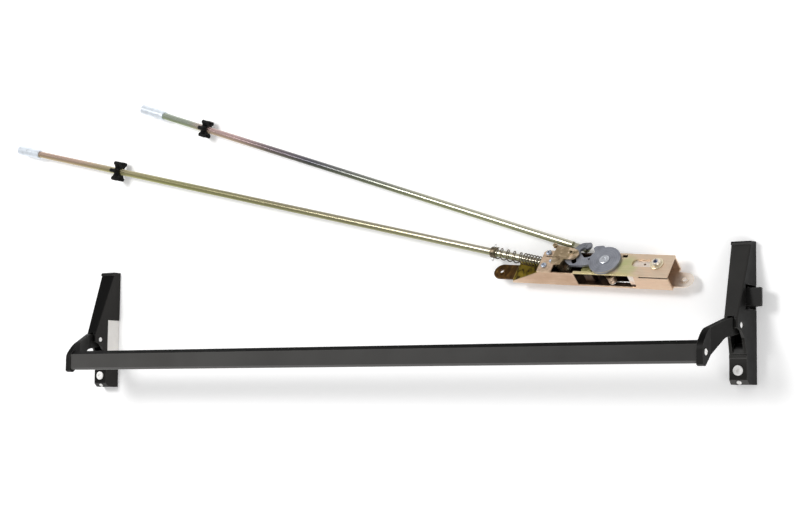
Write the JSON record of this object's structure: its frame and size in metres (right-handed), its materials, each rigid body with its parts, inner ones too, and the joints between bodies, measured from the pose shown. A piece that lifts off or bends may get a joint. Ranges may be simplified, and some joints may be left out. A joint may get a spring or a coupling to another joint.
{
  "type": "concealed vertical rod panic bar",
  "caption": "Crossbar exit device: push bar on two housings with a latch bolt, and its concealed vertical rod mechanism with a hooked cam, rods, spring and guides.",
  "frame": {"origin": "middle of the whole set's box, on the surface that it lies on, which is the door's face", "axes": "+X along the crossbar towards the latch side, +Y up the door, +Z out of the door face"},
  "size_m": [1.4198, 0.4848, 0.1215],
  "materials": {
    "black_coat": "satin powder coat",
    "black_steel": "satin",
    "pale_zinc": "bluish bright zinc plate",
    "bright_steel": "bright",
    "pale_filler": "matt",
    "spring_steel": "bright drawn wire",
    "raw_aluminium": "as sawn",
    "yellow_zinc": "yellow chromated zinc plate",
    "olive_block": "olive chromated zinc plate",
    "cam_steel": "bluish grey zinc plate",
    "bronze_link": "dark bronze chromate",
    "rod_zinc": "olive yellow chromated zinc plate",
    "brass_washer": "bright",
    "black_plastic": "matt"
  },
  "bodies": {
    "door_side": {"right_housing": "black_coat", "left_housing": "black_coat", "right_base_plate": "pale_zinc", "left_base_plate": "pale_zinc", "pivot_pins": "bright_steel", "mounting_screws": "bright_steel", "trim_screws": "bright_steel", "side_filler": "pale_filler", "latch_guide": "black_steel", "return_springs": "spring_steel", "bolt_spring": "spring_steel", "mechanism_case": "yellow_zinc", "top_plate": "yellow_zinc", "end_bracket": "yellow_zinc", "bracket_screws": "bright_steel", "bracket_rivet": "bright_steel", "stop_block": "olive_block", "rod_spring": "yellow_zinc"},
    "push_bar": {"right_lever_arm": "black_coat", "left_lever_arm": "black_coat", "crossbar": "black_coat", "bar_end_plugs": "raw_aluminium", "bar_screws": "bright_steel"},
    "latch": {"latch_bolt": "black_steel", "latch_pin": "bright_steel"},
    "slider": {"latch_slider": "pale_zinc"},
    "cam_group": {"cam": "cam_steel", "cam_shaft": "cam_steel", "cam_lever": "yellow_zinc", "horn_pin": "cam_steel"},
    "lower_rod_group": {"lower_rod": "rod_zinc", "rod_link": "bronze_link", "link_pin": "bronze_link", "link_nuts": "yellow_zinc", "spring_collar": "yellow_zinc", "cross_pin": "bright_steel", "lower_rod_guide": "black_plastic", "lower_rod_coupling": "pale_zinc"},
    "upper_rod_group": {"upper_rod": "rod_zinc", "upper_rod_guide": "black_plastic", "upper_rod_coupling": "pale_zinc"},
    "adjuster": {"slide_block": "pale_zinc", "adjusting_screw": "bright_steel", "adjusting_washer": "brass_washer", "drive_link": "bright_steel"}
  },
  "joints": [
    {"name": "bar_push", "type": "hinge", "parent": "door_side", "child": "push_bar", "pos_m": [0.09292, -0.16241, 0.04], "axis": [1, 0, 0], "range_deg": [0, 22], "stiffness_Nm_per_rad": 2.5, "springref_deg": -34.38},
    {"name": "bolt_draw", "type": "slide", "parent": "door_side", "child": "latch", "axis": [-1, 0, 0], "range_m": [0, 0.012], "stiffness_N_per_m": 300, "springref_m": -0.006, "deforming": ["bolt_spring"]},
    {"name": "slider_lift", "type": "slide", "parent": "door_side", "child": "slider", "axis": [0, 1, 0], "range_m": [0, 0.0102]},
    {"name": "cam_turn", "type": "hinge", "parent": "door_side", "child": "cam_group", "pos_m": [0.47932, -0.06591, 0.03543], "axis": [-0.045, -0.5718, -0.8192], "range_deg": [0, 15], "stiffness_Nm_per_rad": 1, "springref_deg": -28.65},
    {"name": "lower_rod_lift", "type": "slide", "parent": "door_side", "child": "lower_rod_group", "axis": [0.9744, -0.225, 0], "range_m": [0, 0.008], "stiffness_N_per_m": 1500, "springref_m": -0.01, "deforming": ["rod_spring"]},
    {"name": "upper_rod_hook", "type": "hinge", "parent": "cam_group", "child": "upper_rod_group", "pos_m": [0.44053, -0.04642, 0.01664], "axis": [-0.045, -0.5718, -0.8192], "range_deg": [-15.8, 0]},
    {"name": "adjuster_slide", "type": "slide", "parent": "door_side", "child": "adjuster", "axis": [-0.9969, 0.0785, 0], "range_m": [0, 0.0044]}
  ],
  "couplings": [
    {"joint": "bolt_draw", "follows": "bar_push", "m_per_rad": 0.03125},
    {"joint": "slider_lift", "follows": "bar_push", "m_per_rad": 0.02655},
    {"joint": "lower_rod_lift", "follows": "cam_turn", "m_per_rad": 0.0305},
    {"joint": "upper_rod_hook", "follows": "cam_turn", "ratio": -1.0507},
    {"joint": "adjuster_slide", "follows": "cam_turn", "m_per_rad": 0.0168}
  ]
}
